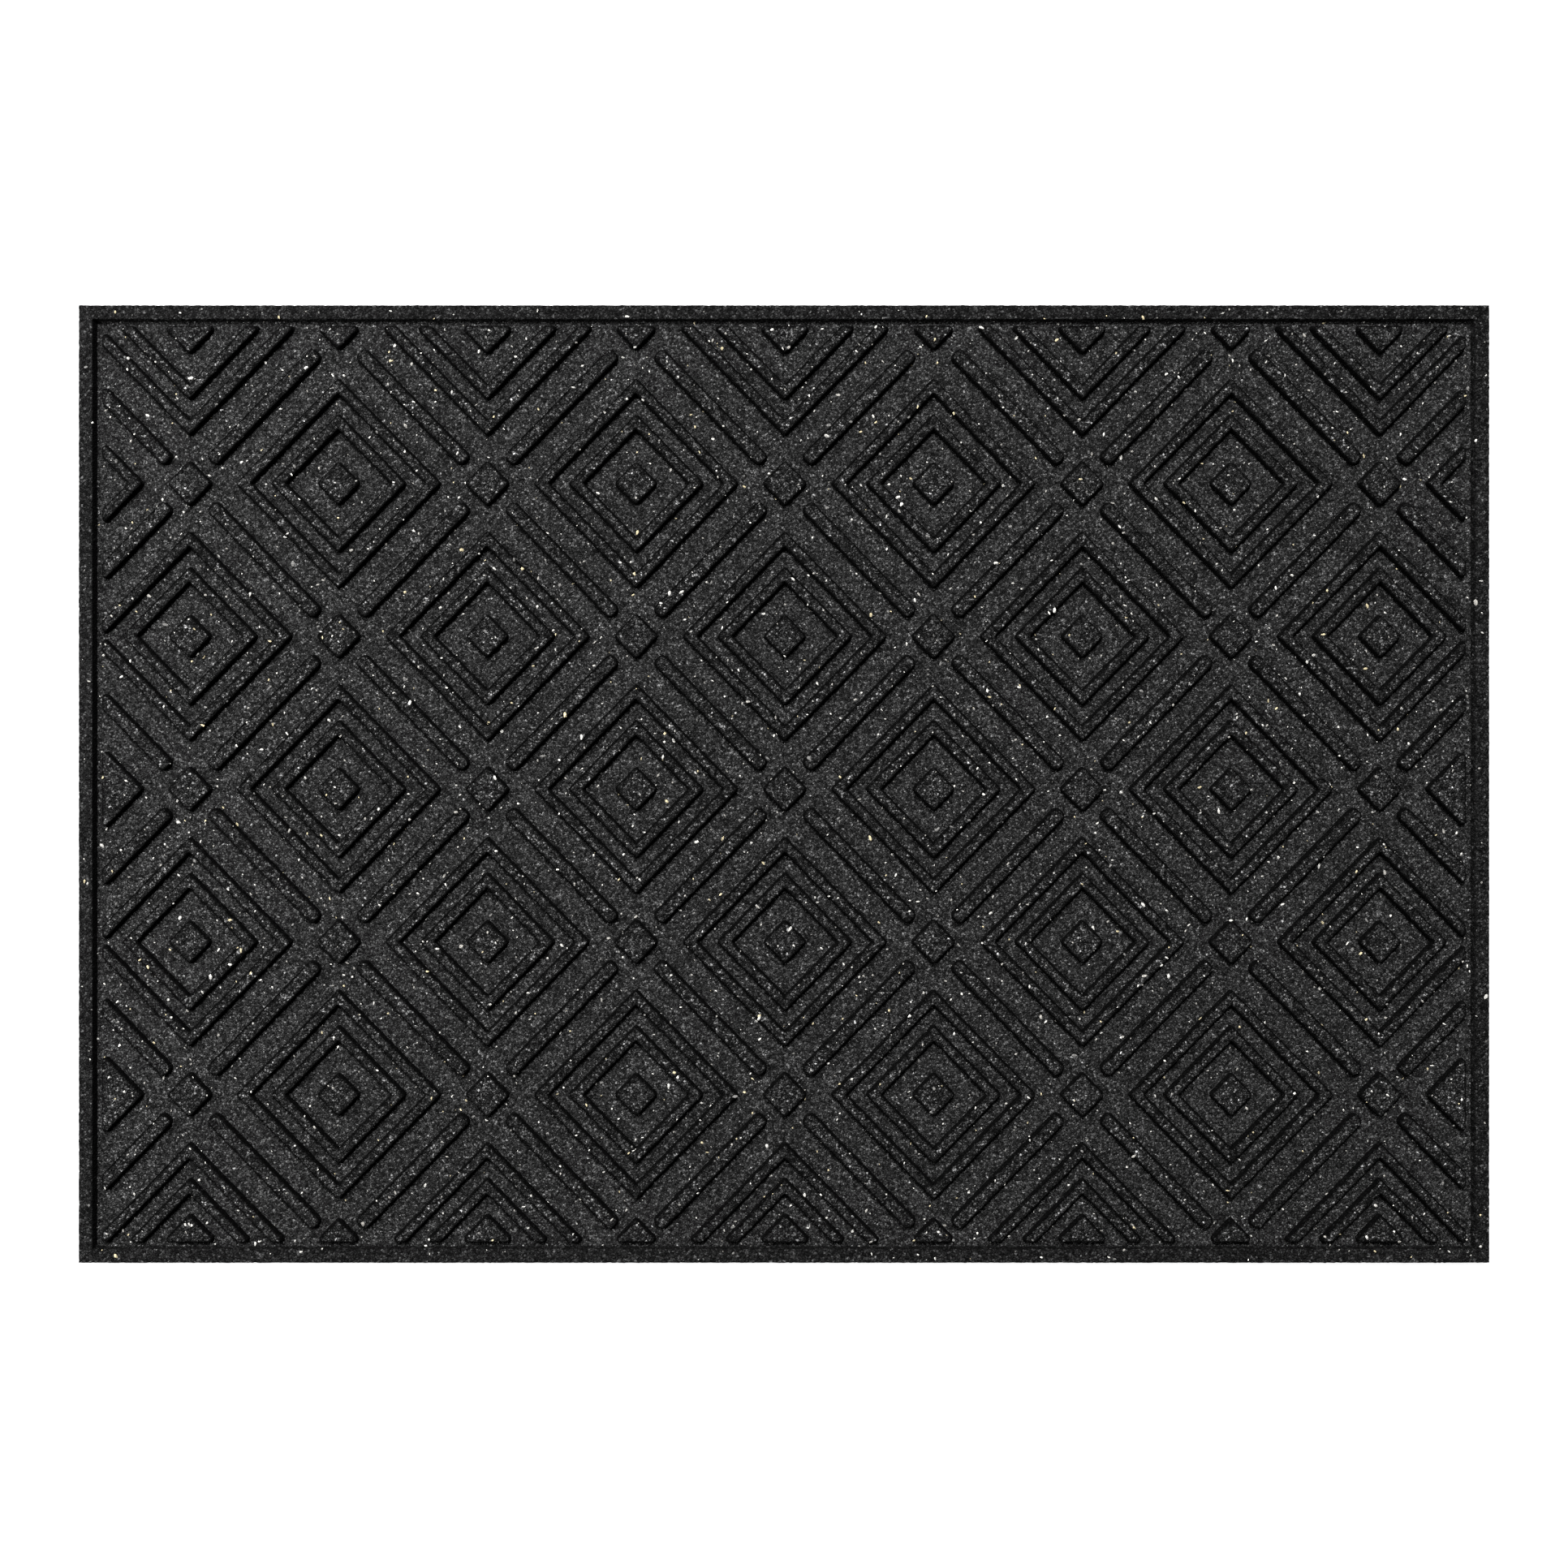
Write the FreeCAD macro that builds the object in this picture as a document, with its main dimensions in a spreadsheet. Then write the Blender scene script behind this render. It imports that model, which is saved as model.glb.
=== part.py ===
"""Moulded rubber door mat: a flat sheet with a raised rim and a raised lattice of rings, bars and blocks.

Frame: the origin is at the centre of the underside, +X along the long side, +Y towards the back
edge and +Z up. Lengths are in millimetres.

The relief follows a diagonal lattice. Its points sit every half_pitch_x along X and half_pitch_y
along Y, counted from the middle of the pattern. A point whose two counts add up to an odd number
is the centre of a motif (a block inside two diamond rings). The other points are junctions, each
with a small block, and a bar joins every junction to its four diagonal neighbours. Everything is
trimmed to a rectangular field that stops short of the rim.
"""
import FreeCAD, Part
import math
import os

import Sketcher

FIRST_ROW = -3
LAST_ROW = 3
FAR_COLUMN = 5
FAR_FULL_COLUMN = 4
CHEVRON_SIDE_ROW = 2
STANDS_ON_BASE = "Sizes.base_thickness"
AT_TOP = "Sizes.base_thickness + Sizes.relief_height"
# How far a wall's run along its normal reaches along the X diagonal of a diamond.
RUN_ON_DIAGONAL = ("Sizes.wall_run * sqrt(Sizes.half_pitch_x ^ 2 + Sizes.half_pitch_y ^ 2)"
                   " / Sizes.half_pitch_y")
Y_PER_X = "Sizes.half_pitch_y / Sizes.half_pitch_x"

SIZES = [
    ("mat_length", 900.0),
    ("mat_width", 611.0),
    ("base_thickness", 4.5),
    ("relief_height", 3.5),
    ("wall_run", 0.7),
    ("rim_width", 9.0),
    ("field_length", 870.0),
    ("field_width", 584.6),
    ("half_pitch_x", 95.0),
    ("half_pitch_y", 97.6),
    ("pattern_shift_x", 0.5),
    ("pattern_shift_y", -3.2),
    ("outer_ring_reach", 65.0),
    ("outer_ring_hole", 56.0),
    ("inner_ring_reach", 42.8),
    ("inner_ring_hole", 33.8),
    ("chevron_overrun", 8.0),
    ("centre_block_reach", 13.4),
    ("junction_block_reach", 13.9),
    ("edge_centre_block_reach", 17.0),
    ("edge_junction_block_reach", 14.4),
    ("bar_length", 96.6),
    ("bar_width", 8.4),
    ("bar_end_radius", 3.0),
]


def make_sheet(doc):
    """The driving dimensions, one row each: the name beside its value."""
    sheet = doc.addObject("Spreadsheet::Sheet", "Sizes")
    for row, (name, value) in enumerate(SIZES, start=1):
        sheet.set(f"A{row}", name)
        sheet.set(f"B{row}", str(value))
        sheet.setAlias(f"B{row}", name)
    return sheet


def origin_feature(body, role):
    """A body's own origin plane or axis."""
    for feature in body.Origin.OriginFeatures:
        if feature.Role == role:
            return feature
    raise ValueError(role)


def level_sketch(body, name, level, turn="0 deg"):
    """An empty sketch lying at a height above the underside, turned about Z."""
    sketch = body.newObject("Sketcher::SketchObject", name)
    sketch.AttachmentSupport = [(origin_feature(body, "XY_Plane"), "")]
    sketch.MapMode = "FlatFace"
    sketch.setExpression("AttachmentOffset.Base.z", level)
    sketch.setExpression("AttachmentOffset.Rotation.Angle", turn)
    return sketch


def bind_size(sketch, kind, places, expression):
    """A dimension of a sketch that follows an expression."""
    value = float(sketch.evalExpression(expression))
    number = sketch.addConstraint(Sketcher.Constraint(kind, *places, value))
    sketch.setExpression(f"Constraints[{number}]", expression)


def polygon_sketch(body, name, level, corners):
    """A closed outline whose corners are given by expressions."""
    sketch = level_sketch(body, name, level)
    points = []
    for across, along in corners:
        points.append(FreeCAD.Vector(sketch.evalExpression(across), sketch.evalExpression(along), 0))
    lines = range(len(points))
    following = [(line + 1) % len(points) for line in lines]
    for line in lines:
        sketch.addGeometry(Part.LineSegment(points[line], points[following[line]]), False)
    for line in lines:
        sketch.addConstraint(Sketcher.Constraint("Coincident", line, 2, following[line], 1))
    for line, (across, along) in enumerate(corners):
        bind_size(sketch, "DistanceX", (-1, 1, line, 1), across)
        bind_size(sketch, "DistanceY", (-1, 1, line, 1), along)
    return sketch


def loft_between(body, name, lower, upper):
    """A solid whose straight walls run from the lower outline to the upper one."""
    loft = body.newObject("PartDesign::AdditiveLoft", name)
    loft.Profile = lower
    loft.Sections = [upper]
    loft.Ruled = True
    body.Tip = loft
    return loft


def new_body(doc, label, across, along):
    """A body that stands at a place on the mat."""
    body = doc.addObject("PartDesign::Body", label)
    body.Label = label
    body.setExpression("Placement.Base.x", across)
    body.setExpression("Placement.Base.y", along)
    return body


def repeat_along_x(body, seed, pitches, count):
    """A straight row of copies of a feature, a number of lattice pitches apart."""
    row = body.newObject("PartDesign::LinearPattern", body.Name + "_row")
    row.Originals = [seed]
    row.Direction = (origin_feature(body, "X_Axis"), [""])
    row.setExpression("Length", f"Sizes.half_pitch_x * {pitches * (count - 1)}")
    row.Occurrences = count
    body.Tip = row
    return row


def column_place(column):
    """Where a lattice column stands along X."""
    return f"Sizes.pattern_shift_x + Sizes.half_pitch_x * ({column})"


def row_place(row):
    """Where a lattice row stands along Y."""
    return f"Sizes.pattern_shift_y + Sizes.half_pitch_y * ({row})"


def edge_place(row):
    """The edge of the field beside the first or last lattice row."""
    return f"Sizes.field_width / 2 * ({1 if row > 0 else -1})"


def is_edge_row(row):
    """True for the two rows whose motifs are cut through by the edge of the field."""
    return row in (FIRST_ROW, LAST_ROW)


def diamond_corners(reach):
    """The four corners of a diamond with the lattice's own slope, from its reach along X."""
    height = f"({reach}) * {Y_PER_X}"
    return [(reach, "0"), ("0", height), (f"-({reach})", "0"), ("0", f"-({height})")]


def diamond_solid(body, reach):
    """A diamond block with drafted walls: its top has the given reach and its foot is wider."""
    foot_corners = diamond_corners(f"{reach} + {RUN_ON_DIAGONAL}")
    foot = polygon_sketch(body, body.Name + "_foot", STANDS_ON_BASE, foot_corners)
    top = polygon_sketch(body, body.Name + "_top", AT_TOP, diamond_corners(reach))
    return loft_between(body, body.Name + "_block", foot, top)


def strip_corners(outside, inside, overrun):
    """One side of a diamond ring, mitred on the Y axis and ending past the X axis by the overrun."""
    lead = f"({overrun}) / ({Y_PER_X})"
    return [
        (f"{outside} + {lead}", f"-({overrun})"),
        ("0", f"({outside}) * {Y_PER_X}"),
        ("0", f"({inside}) * {Y_PER_X}"),
        (f"{inside} + {lead}", f"-({overrun})"),
    ]


def ring_side(body, reach, hole, overrun):
    """The ring side in the +X +Y quarter, its two long walls drafted and its ends mitred."""
    foot_corners = strip_corners(f"{reach} + {RUN_ON_DIAGONAL}", f"{hole} - {RUN_ON_DIAGONAL}", overrun)
    foot = polygon_sketch(body, body.Name + "_foot", STANDS_ON_BASE, foot_corners)
    top_corners = strip_corners(reach, hole, overrun)
    top = polygon_sketch(body, body.Name + "_top", AT_TOP, top_corners)
    return loft_between(body, body.Name + "_side", foot, top)


def mirror_copy(doc, source, name, normal, place):
    """A mirror image of an object in the plane across X or Y at a place."""
    copy = doc.addObject("Part::Mirroring", name)
    copy.Source = source
    copy.Normal = FreeCAD.Vector(*normal)
    copy.setExpression("Base.x" if normal[0] else "Base.y", place)
    return copy


def trim_to_field(doc, whole, field, label):
    """The part of an object that lies inside the field, as an object of its own."""
    whole.Label = label + "_untrimmed"
    trimmed = doc.addObject("Part::Common", label + "_trimmed")
    trimmed.Base = whole
    trimmed.Tool = field
    trimmed.Label = label
    return trimmed


def make_base(doc):
    """The flat sheet that everything stands on."""
    base = doc.addObject("Part::Box", "base_sheet")
    base.Label = "base_sheet"
    base.setExpression("Length", "Sizes.mat_length")
    base.setExpression("Width", "Sizes.mat_width")
    base.setExpression("Height", "Sizes.base_thickness")
    base.setExpression("Placement.Base.x", "-Sizes.mat_length / 2")
    base.setExpression("Placement.Base.y", "-Sizes.mat_width / 2")
    return base


def make_rim_side(doc, label, length, depth, turn):
    """One mitred side of the rim, drawn along the front edge and turned into place."""
    body = doc.addObject("PartDesign::Body", label)
    body.Label = label
    body.setExpression("Placement.Rotation.Angle", turn)
    outlines = []
    for name, level, run in (("foot", STANDS_ON_BASE, "Sizes.wall_run"), ("top", AT_TOP, "0")):
        half = f"({length}) / 2"
        inner_half = f"({half} - Sizes.rim_width - {run})"
        outer_edge = f"-({depth}) / 2"
        inner_edge = f"{outer_edge} + Sizes.rim_width + {run}"
        corners = [
            (f"-{half}", outer_edge),
            (half, outer_edge),
            (inner_half, inner_edge),
            (f"-{inner_half}", inner_edge),
        ]
        outlines.append(polygon_sketch(body, f"{label}_{name}", level, corners))
    loft_between(body, label + "_side", *outlines)
    return body


def make_rim(doc):
    """The raised border: four mitred sides with drafted inner walls."""
    long_side = ("Sizes.mat_length", "Sizes.mat_width")
    short_side = ("Sizes.mat_width", "Sizes.mat_length")
    return [
        make_rim_side(doc, "rim_front", *long_side, "0 deg"),
        make_rim_side(doc, "rim_right", *short_side, "90 deg"),
        make_rim_side(doc, "rim_back", *long_side, "180 deg"),
        make_rim_side(doc, "rim_left", *short_side, "270 deg"),
    ]


def make_field(doc):
    """A helper solid: the drafted rectangle that every trimmed row has to stay in."""
    field = doc.addObject("Part::Wedge", "relief_field")
    for axis, size in (("X", "Sizes.field_length"), ("Z", "Sizes.field_width")):
        field.setExpression(f"{axis}min", f"-{size} / 2 - Sizes.wall_run")
        field.setExpression(f"{axis}max", f"{size} / 2 + Sizes.wall_run")
        field.setExpression(f"{axis}2min", f"-{size} / 2")
        field.setExpression(f"{axis}2max", f"{size} / 2")
    field.setExpression("Ymin", STANDS_ON_BASE)
    field.setExpression("Ymax", AT_TOP)
    field.Placement = FreeCAD.Placement(FreeCAD.Vector(), FreeCAD.Rotation(FreeCAD.Vector(1, 0, 0), 90))
    return field


def motif_columns(row):
    """First column and number of motifs in a row, without those outside the field's sides."""
    first = -FAR_FULL_COLUMN if row % 2 else -FAR_FULL_COLUMN + 1
    return first, -first + 1


def junction_columns(row):
    """First column and number of junctions in a row."""
    first = -FAR_FULL_COLUMN + 1 if row % 2 else -FAR_FULL_COLUMN
    return first, -first + 1


def make_rings(doc, field, kind, row):
    """The outer or inner rings of one row, each as its mitred straight sides.

    A row at the edge of the field keeps only the two sides that face the middle of the mat, as a
    chevron.
    """
    label = f"{kind}_rings_row_{row - FIRST_ROW + 1}"
    first, count = motif_columns(row)
    if kind == "outer" and row == CHEVRON_SIDE_ROW:
        first, count = -FAR_COLUMN, FAR_COLUMN + 1
    body = new_body(doc, label + "_sides", column_place(first), row_place(row))
    overrun = "Sizes.chevron_overrun" if is_edge_row(row) else "0"
    seed = ring_side(body, f"Sizes.{kind}_ring_reach", f"Sizes.{kind}_ring_hole", overrun)
    repeat_along_x(body, seed, 2, count)
    facing_back = [body, mirror_copy(doc, body, label + "_left", (1, 0, 0), column_place(0))]
    facing_front = [mirror_copy(doc, side, side.Name + "_front", (0, 1, 0), row_place(row))
                    for side in facing_back]
    kept = {FIRST_ROW: facing_back, LAST_ROW: facing_front}.get(row, facing_back + facing_front)
    rings = doc.addObject("Part::Compound", label)
    rings.Links = [trim_to_field(doc, side, field, side.Name + "_in_field") for side in kept]
    rings.Label = label
    return rings


def make_blocks(doc, field, kind, row):
    """The blocks of one row, in the middle of its motifs or on its junctions."""
    label = f"{kind}_blocks_row_{row - FIRST_ROW + 1}"
    first, count = motif_columns(row) if kind == "centre" else junction_columns(row)
    at_edge = is_edge_row(row)
    along = edge_place(row) if at_edge else row_place(row)
    reach = f"Sizes.edge_{kind}_block_reach" if at_edge else f"Sizes.{kind}_block_reach"
    body = new_body(doc, label, column_place(first), along)
    repeat_along_x(body, diamond_solid(body, reach), 2, count)
    return trim_to_field(doc, body, field, label) if at_edge else body


def make_side_blocks(doc, field, row):
    """The two solid triangles where a row's outermost motifs meet the left and right edges."""
    label = f"side_blocks_row_{row - FIRST_ROW + 1}"
    body = new_body(doc, label, column_place(-FAR_COLUMN), row_place(row))
    repeat_along_x(body, diamond_solid(body, "Sizes.outer_ring_reach"), 2 * FAR_COLUMN, 2)
    return trim_to_field(doc, body, field, label)


def bar_outline(body, turn):
    """A long rectangle with rounded corners, centred on the body's origin and turned about Z."""
    sketch = level_sketch(body, body.Name + "_outline", AT_TOP, turn)
    sizes = body.Document.Sizes
    half_length, half_width, radius = sizes.bar_length / 2, sizes.bar_width / 2, sizes.bar_end_radius
    centre_x, centre_y = half_length - radius, half_width - radius
    quarter_turn = math.pi / 2
    corners = [(centre_x, centre_y), (-centre_x, centre_y), (-centre_x, -centre_y), (centre_x, -centre_y)]
    for index, corner in enumerate(corners):
        circle = Part.Circle(FreeCAD.Vector(*corner, 0), FreeCAD.Vector(0, 0, 1), radius)
        arc = Part.ArcOfCircle(circle, index * quarter_turn, (index + 1) * quarter_turn)
        sketch.addGeometry(arc, False)
    sides = [
        ((centre_x, half_width), (-centre_x, half_width)),
        ((-half_length, centre_y), (-half_length, -centre_y)),
        ((-centre_x, -half_width), (centre_x, -half_width)),
        ((half_length, -centre_y), (half_length, centre_y)),
    ]
    for start, end in sides:
        sketch.addGeometry(Part.LineSegment(FreeCAD.Vector(*start, 0), FreeCAD.Vector(*end, 0)), False)
    back, left, front, right = range(len(corners), len(corners) + len(sides))
    for arc, line in enumerate((back, left, front, right)):
        sketch.addConstraint(Sketcher.Constraint("Tangent", arc, 2, line, 1))
        sketch.addConstraint(Sketcher.Constraint("Tangent", line, 2, (arc + 1) % len(corners), 1))
        sketch.addConstraint(Sketcher.Constraint("Vertical" if line in (left, right) else "Horizontal", line))
        if arc:
            sketch.addConstraint(Sketcher.Constraint("Equal", 0, arc))
    sketch.addConstraint(Sketcher.Constraint("Symmetric", 0, 3, 2, 3, -1, 1))
    bind_size(sketch, "DistanceX", (left, 1, right, 1), "Sizes.bar_length")
    bind_size(sketch, "DistanceY", (front, 1, back, 1), "Sizes.bar_width")
    bind_size(sketch, "Radius", (0,), "Sizes.bar_end_radius")
    return sketch


def make_bars(doc, field, way, band):
    """The bars of one direction between two lattice rows."""
    label = f"{way}_bars_band_{band - FIRST_ROW + 1}"
    from_far_column = (band % 2 != 0) == (way == "rising")
    first = -FAR_COLUMN if from_far_column else -FAR_COLUMN + 1
    body = new_body(doc, label, column_place(first + 0.5), row_place(band + 0.5))
    slope = f"atan({Y_PER_X})" if way == "rising" else f"-atan({Y_PER_X})"
    pad = body.newObject("PartDesign::Pad", body.Name + "_bar")
    pad.Profile = bar_outline(body, slope)
    pad.Reversed = True
    pad.setExpression("Length", "Sizes.relief_height")
    pad.setExpression("TaperAngle", "atan(Sizes.wall_run / Sizes.relief_height)")
    body.Tip = pad
    repeat_along_x(body, pad, 2, FAR_COLUMN)
    return trim_to_field(doc, body, field, label)


def make_relief(doc):
    """Every raised piece inside the rim."""
    field = make_field(doc)
    pieces = []
    for row in range(FIRST_ROW, LAST_ROW + 1):
        pieces.append(make_rings(doc, field, "outer", row))
        pieces.append(make_rings(doc, field, "inner", row))
        pieces.append(make_blocks(doc, field, "centre", row))
        pieces.append(make_blocks(doc, field, "junction", row))
        if row % 2 == 0 and row != CHEVRON_SIDE_ROW:
            pieces.append(make_side_blocks(doc, field, row))
    for band in range(FIRST_ROW, LAST_ROW):
        pieces.append(make_bars(doc, field, "rising", band))
        pieces.append(make_bars(doc, field, "falling", band))
    return pieces


def check_document(doc, sub_parts):
    """Stop if a feature failed or a sub-part has no sound closed solid."""
    for item in doc.Objects:
        if "Invalid" in item.State or "Error" in item.State:
            raise RuntimeError(f"{item.Label} failed: {item.State}")
    for part in sub_parts:
        shape = part.Shape
        if shape.isNull() or not shape.isValid() or not shape.Solids:
            raise RuntimeError(f"{part.Label} has no valid solid")


def main():
    doc = FreeCAD.newDocument("door_mat")
    make_sheet(doc)
    doc.recompute()
    sub_parts = [make_base(doc)] + make_rim(doc) + make_relief(doc)
    doc.recompute()
    check_document(doc, sub_parts)
    os.makedirs("parts", exist_ok=True)
    for part in sub_parts:
        part.Shape.exportStep(f"parts/{part.Label}.step")
        print(part.Label, len(part.Shape.Solids), round(part.Shape.Volume))


main()
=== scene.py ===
"""Door mat of bonded rubber crumb, moulded with a raised rim and a raised diagonal lattice.

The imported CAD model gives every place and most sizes. Each CAD node is replaced by a moulded form
with rounded, slightly ragged edges and a grainy surface. Outlines are worked out in millimetres in
the row frame, and make_piece turns them into metres.
"""
import itertools
import math

import bpy
import numpy as np
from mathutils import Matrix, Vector, geometry


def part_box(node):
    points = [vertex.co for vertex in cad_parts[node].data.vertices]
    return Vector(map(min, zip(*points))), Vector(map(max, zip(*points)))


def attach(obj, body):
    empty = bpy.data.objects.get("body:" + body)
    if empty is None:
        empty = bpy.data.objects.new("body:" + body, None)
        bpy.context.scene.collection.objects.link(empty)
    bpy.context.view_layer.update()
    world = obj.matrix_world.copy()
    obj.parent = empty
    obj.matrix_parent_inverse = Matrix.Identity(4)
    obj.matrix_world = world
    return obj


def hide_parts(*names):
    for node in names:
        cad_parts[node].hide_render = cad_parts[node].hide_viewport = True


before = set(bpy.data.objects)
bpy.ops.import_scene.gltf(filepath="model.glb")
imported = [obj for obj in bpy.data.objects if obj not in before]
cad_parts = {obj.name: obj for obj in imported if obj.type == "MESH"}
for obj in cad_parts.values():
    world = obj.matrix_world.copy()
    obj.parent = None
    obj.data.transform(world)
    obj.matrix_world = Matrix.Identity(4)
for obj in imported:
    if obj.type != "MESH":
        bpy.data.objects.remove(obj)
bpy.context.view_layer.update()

MM = 0.001
X, Y, Z = 0, 1, 2


def low(node, axis):
    """A node's lowest coordinate along an axis, in millimetres."""
    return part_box(node)[0][axis] / MM


def high(node, axis):
    """A node's highest coordinate along an axis, in millimetres."""
    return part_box(node)[1][axis] / MM


def span(node, axis):
    """A node's size along an axis, in millimetres."""
    return high(node, axis) - low(node, axis)


def middle(node, axis):
    """The middle of a node along an axis, in millimetres."""
    return (high(node, axis) + low(node, axis)) / 2


BASE_TOP = high("base_sheet", Z)
RELIEF_TOP = high("rim_front", Z)
RELIEF_HEIGHT = RELIEF_TOP - BASE_TOP
HALF_LENGTH = high("base_sheet", X)
HALF_WIDTH = high("base_sheet", Y)
# How far the foot of a wall stands out from its top, by the draft of the mould.
WALL_RUN = 0.7
RIM_WIDTH = span("rim_front", Y) - WALL_RUN

# The lattice. Its motifs stand in rows of five and four in turn, among rows of four and five
# junction blocks.
PITCH_X = (span("junction_blocks_row_2", X) - span("junction_blocks_row_3", X)) / 2
PITCH_Y = middle("inner_rings_row_4", Y) - middle("inner_rings_row_3", Y)
CENTRE_X = middle("inner_rings_row_4", X)
CENTRE_Y = middle("inner_rings_row_4", Y)
Y_PER_X = PITCH_Y / PITCH_X
# What the draft of a slanting wall adds to a motif's reach along X.
RUN_ON_DIAGONAL = WALL_RUN * math.hypot(PITCH_X, PITCH_Y) / PITCH_Y
# Rows and columns are numbered from the lattice's middle, a pitch apart.
FIRST_ROW, LAST_ROW = -3, 3
FAR_COLUMN = 5
FOUR_COLUMNS = range(-3, 4, 2)
FIVE_COLUMNS = range(-4, 5, 2)
SIX_COLUMNS = range(-FAR_COLUMN, FAR_COLUMN + 1, 2)
# The row whose cut motifs at the short sides are rings, where the other such rows have triangles.
CUT_RINGS_ROW = 2


def top_reach(node):
    """How far a motif's top reaches from its middle along X, from a row of four such motifs."""
    between_outer_two = 6 * PITCH_X
    return (span(node, X) - between_outer_two) / 2 - RUN_ON_DIAGONAL


OUTER_REACH = top_reach("outer_rings_row_2")
INNER_REACH = top_reach("inner_rings_row_2")
CENTRE_REACH = top_reach("centre_blocks_row_2")
JUNCTION_REACH = top_reach("junction_blocks_row_3")
# The blocks cut by the long sides have their middle on the field's edge, and are larger.
EDGE_CENTRE_REACH = 17.0
EDGE_JUNCTION_REACH = 14.4
# How far a ring's outline is from its hole, along X.
RING_DEPTH = 9.0
BAR_LENGTH, BAR_WIDTH = 96.6, 8.4
# The lattice is cut off at these distances from the middle of the mat.
FIELD_X = high("outer_rings_row_3", X) - WALL_RUN
FIELD_Y = high("outer_rings_row_7", Y) - WALL_RUN
# How far a chevron's arms run on past the field's edge before they are cut.
OVERRUN = 12.0
# Corners of a cut outline that are closer than this are made one.
SHORTEST_EDGE = 1.0

# Corner radii of the top outlines. INSIDE is for inward corners, and TRIMMED for corners made by
# the cut at the field's edge.
BAR_RADIUS = 3.0
BLOCK_RADIUS = 1.7
RING_RADIUS = 1.1
INSIDE_RADIUS = 0.5
TRIMMED_RADIUS = 1.9
SMALLEST_RADIUS = 0.05
# The most of a side that the arc at each of its ends may take.
ARC_SHARE = 0.45

# The wall from the buried foot up to the flat of the top: height above the sheet, outward offset.
WALL_PROFILE = [
    (-0.7, WALL_RUN + 0.1),
    (0.1, WALL_RUN + 0.05),
    (RELIEF_HEIGHT * 0.45, WALL_RUN * 0.5),
    (RELIEF_HEIGHT - 0.55, 0.1),
    (RELIEF_HEIGHT - 0.15, -0.06),
    (RELIEF_HEIGHT, -0.4),
]

# Distances between mesh points.
WALL_SPACING = 1.5
ARC_SPACING = 0.7
TOP_SPACING = 1.35
SHEET_SPACING = 1.45
UNDERSIDE_SPACING = 12.0

# Grain: heights as a standard deviation with limits down and up, and how far edges wander.
GRAIN_HEIGHT = 0.11
RELIEF_GRAIN_LIMITS = (-0.3, 0.22)
RIM_GRAIN_LIMITS = (-0.3, 0.2)
SHEET_GRAIN_LIMITS = (-0.28, 0.2)
EDGE_WANDER = 0.09

# This point attribute runs from full painted shade, which paints the walls nearly black, to no
# painted shade.
FULL_PAINTED_SHADE, NO_PAINTED_SHADE = 0.0, 1.0


# ---------------------------------------------------------------- outlines


def clip(points, axis, limit, side):
    """The part of a polygon on the inner side of a straight limit (side is +1 or -1)."""
    kept = []
    for start, end in zip(points, points[1:] + points[:1]):
        before = limit - side * start[axis]
        after = limit - side * end[axis]
        if before >= 0:
            kept.append(start)
        if before * after < 0:
            kept.append(start + (end - start) * before / (before - after))
    return kept


def trim_to_field(points):
    """A polygon cut to the rectangular field, without very short edges."""
    for axis, limit in ((X, FIELD_X), (Y, FIELD_Y)):
        for side in (1, -1):
            points = clip(points, axis, limit, side)
    kept = []
    for point in points:
        if not kept or np.linalg.norm(point - kept[-1]) > SHORTEST_EDGE:
            kept.append(point)
    if len(kept) > 1 and np.linalg.norm(kept[0] - kept[-1]) <= SHORTEST_EDGE:
        kept.pop()
    return kept


def diamond(centre, reach):
    """A diamond's corners, anticlockwise from +X."""
    x, y = centre
    rise = reach * Y_PER_X
    return [np.array(p) for p in ((x + reach, y), (x, y + rise), (x - reach, y), (x, y - rise))]


def slit_ring(centre, reach, first):
    """A ring as one polygon, slit at the corner numbered first, which lies outside the field."""
    outer = diamond(centre, reach)
    inner = diamond(centre, reach - RING_DEPTH)
    order = [(first + step) % 4 for step in range(5)]
    return [outer[k] for k in order] + [inner[k] for k in reversed(order)]


def chevron(centre, reach, way):
    """Two ring sides that meet at an apex towards +Y or -Y, their ends run on past the middle."""
    x, y = centre
    lead = OVERRUN / Y_PER_X
    outer, inner = [], []
    for size, side in ((reach, outer), (reach - RING_DEPTH, inner)):
        side.append(np.array((x + size + lead, y - way * OVERRUN)))
        side.append(np.array((x, y + way * size * Y_PER_X)))
        side.append(np.array((x - size - lead, y - way * OVERRUN)))
    outline = outer + inner[::-1]
    return outline if way > 0 else outline[::-1]


def corner_radii(points, convex_radius):
    """A radius for each corner: on the field's edge, on an outward corner or on an inward one."""
    edge_tolerance = 0.01
    radii = []
    count = len(points)
    for index, point in enumerate(points):
        before = point - points[index - 1]
        after = points[(index + 1) % count] - point
        turn = before[0] * after[1] - before[1] * after[0]
        past_edge = max(abs(point[0]) - FIELD_X, abs(point[1]) - FIELD_Y)
        if turn < 0:
            radii.append(INSIDE_RADIUS)
        elif past_edge > -edge_tolerance:
            radii.append(TRIMMED_RADIUS)
        else:
            radii.append(convex_radius)
    return radii


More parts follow.
